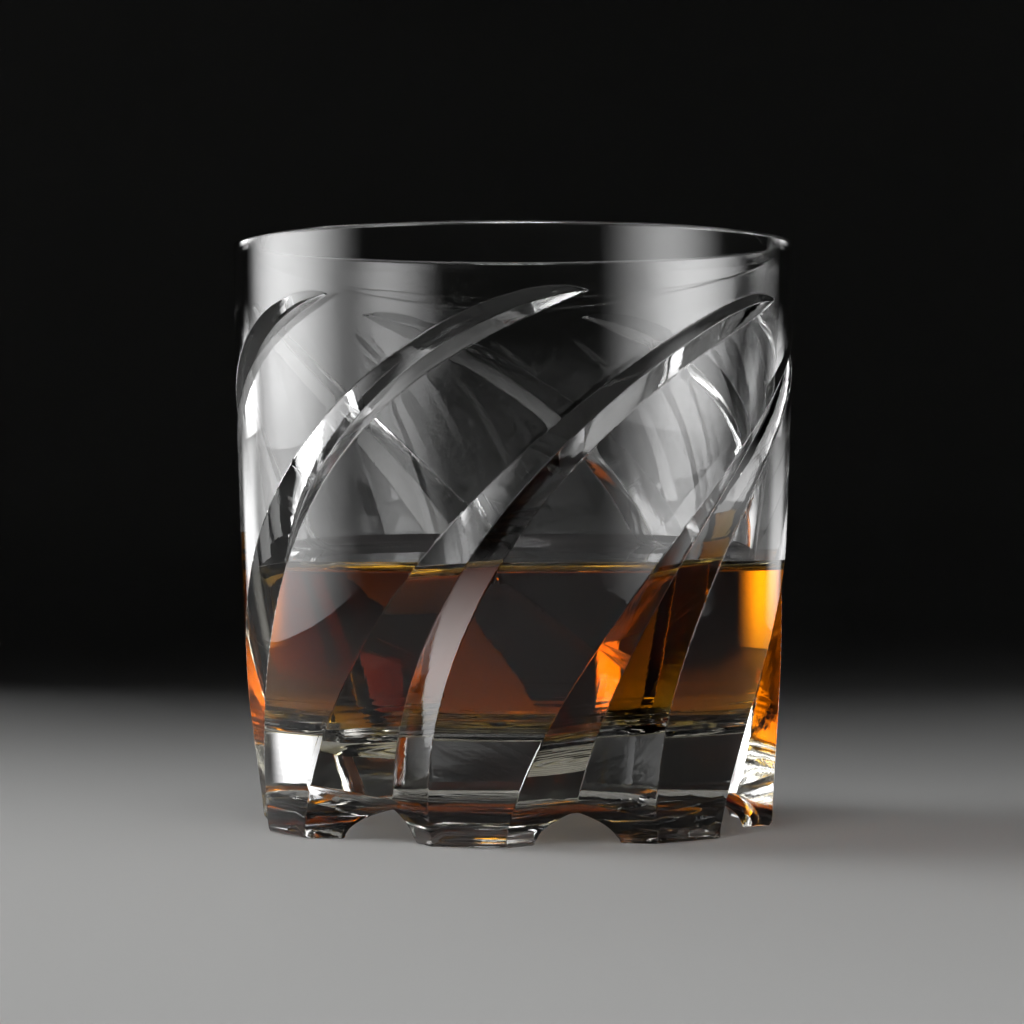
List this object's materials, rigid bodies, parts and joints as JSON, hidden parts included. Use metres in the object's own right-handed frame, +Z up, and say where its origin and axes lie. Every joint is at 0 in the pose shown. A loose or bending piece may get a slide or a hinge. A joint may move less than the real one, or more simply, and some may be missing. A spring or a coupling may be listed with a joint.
{
  "type": "glass of neat whisky",
  "caption": "Neat amber whisky standing in a heavy clear cut-crystal rocks tumbler with swirling wedge cuts, a hollowed base and block feet.",
  "frame": {"origin": "middle of the circle of feet, on the surface the glass stands on", "axes": "+Z up along the glass's axis, towards the rim; -Y towards the viewer"},
  "size_m": [0.0882, 0.0882, 0.0913],
  "materials": {
    "crystal": "clear polished cut crystal",
    "whisky": "clear deep amber liquid"
  },
  "bodies": {
    "root": {"tumbler": "crystal", "whisky": "whisky"}
  },
  "joints": []
}
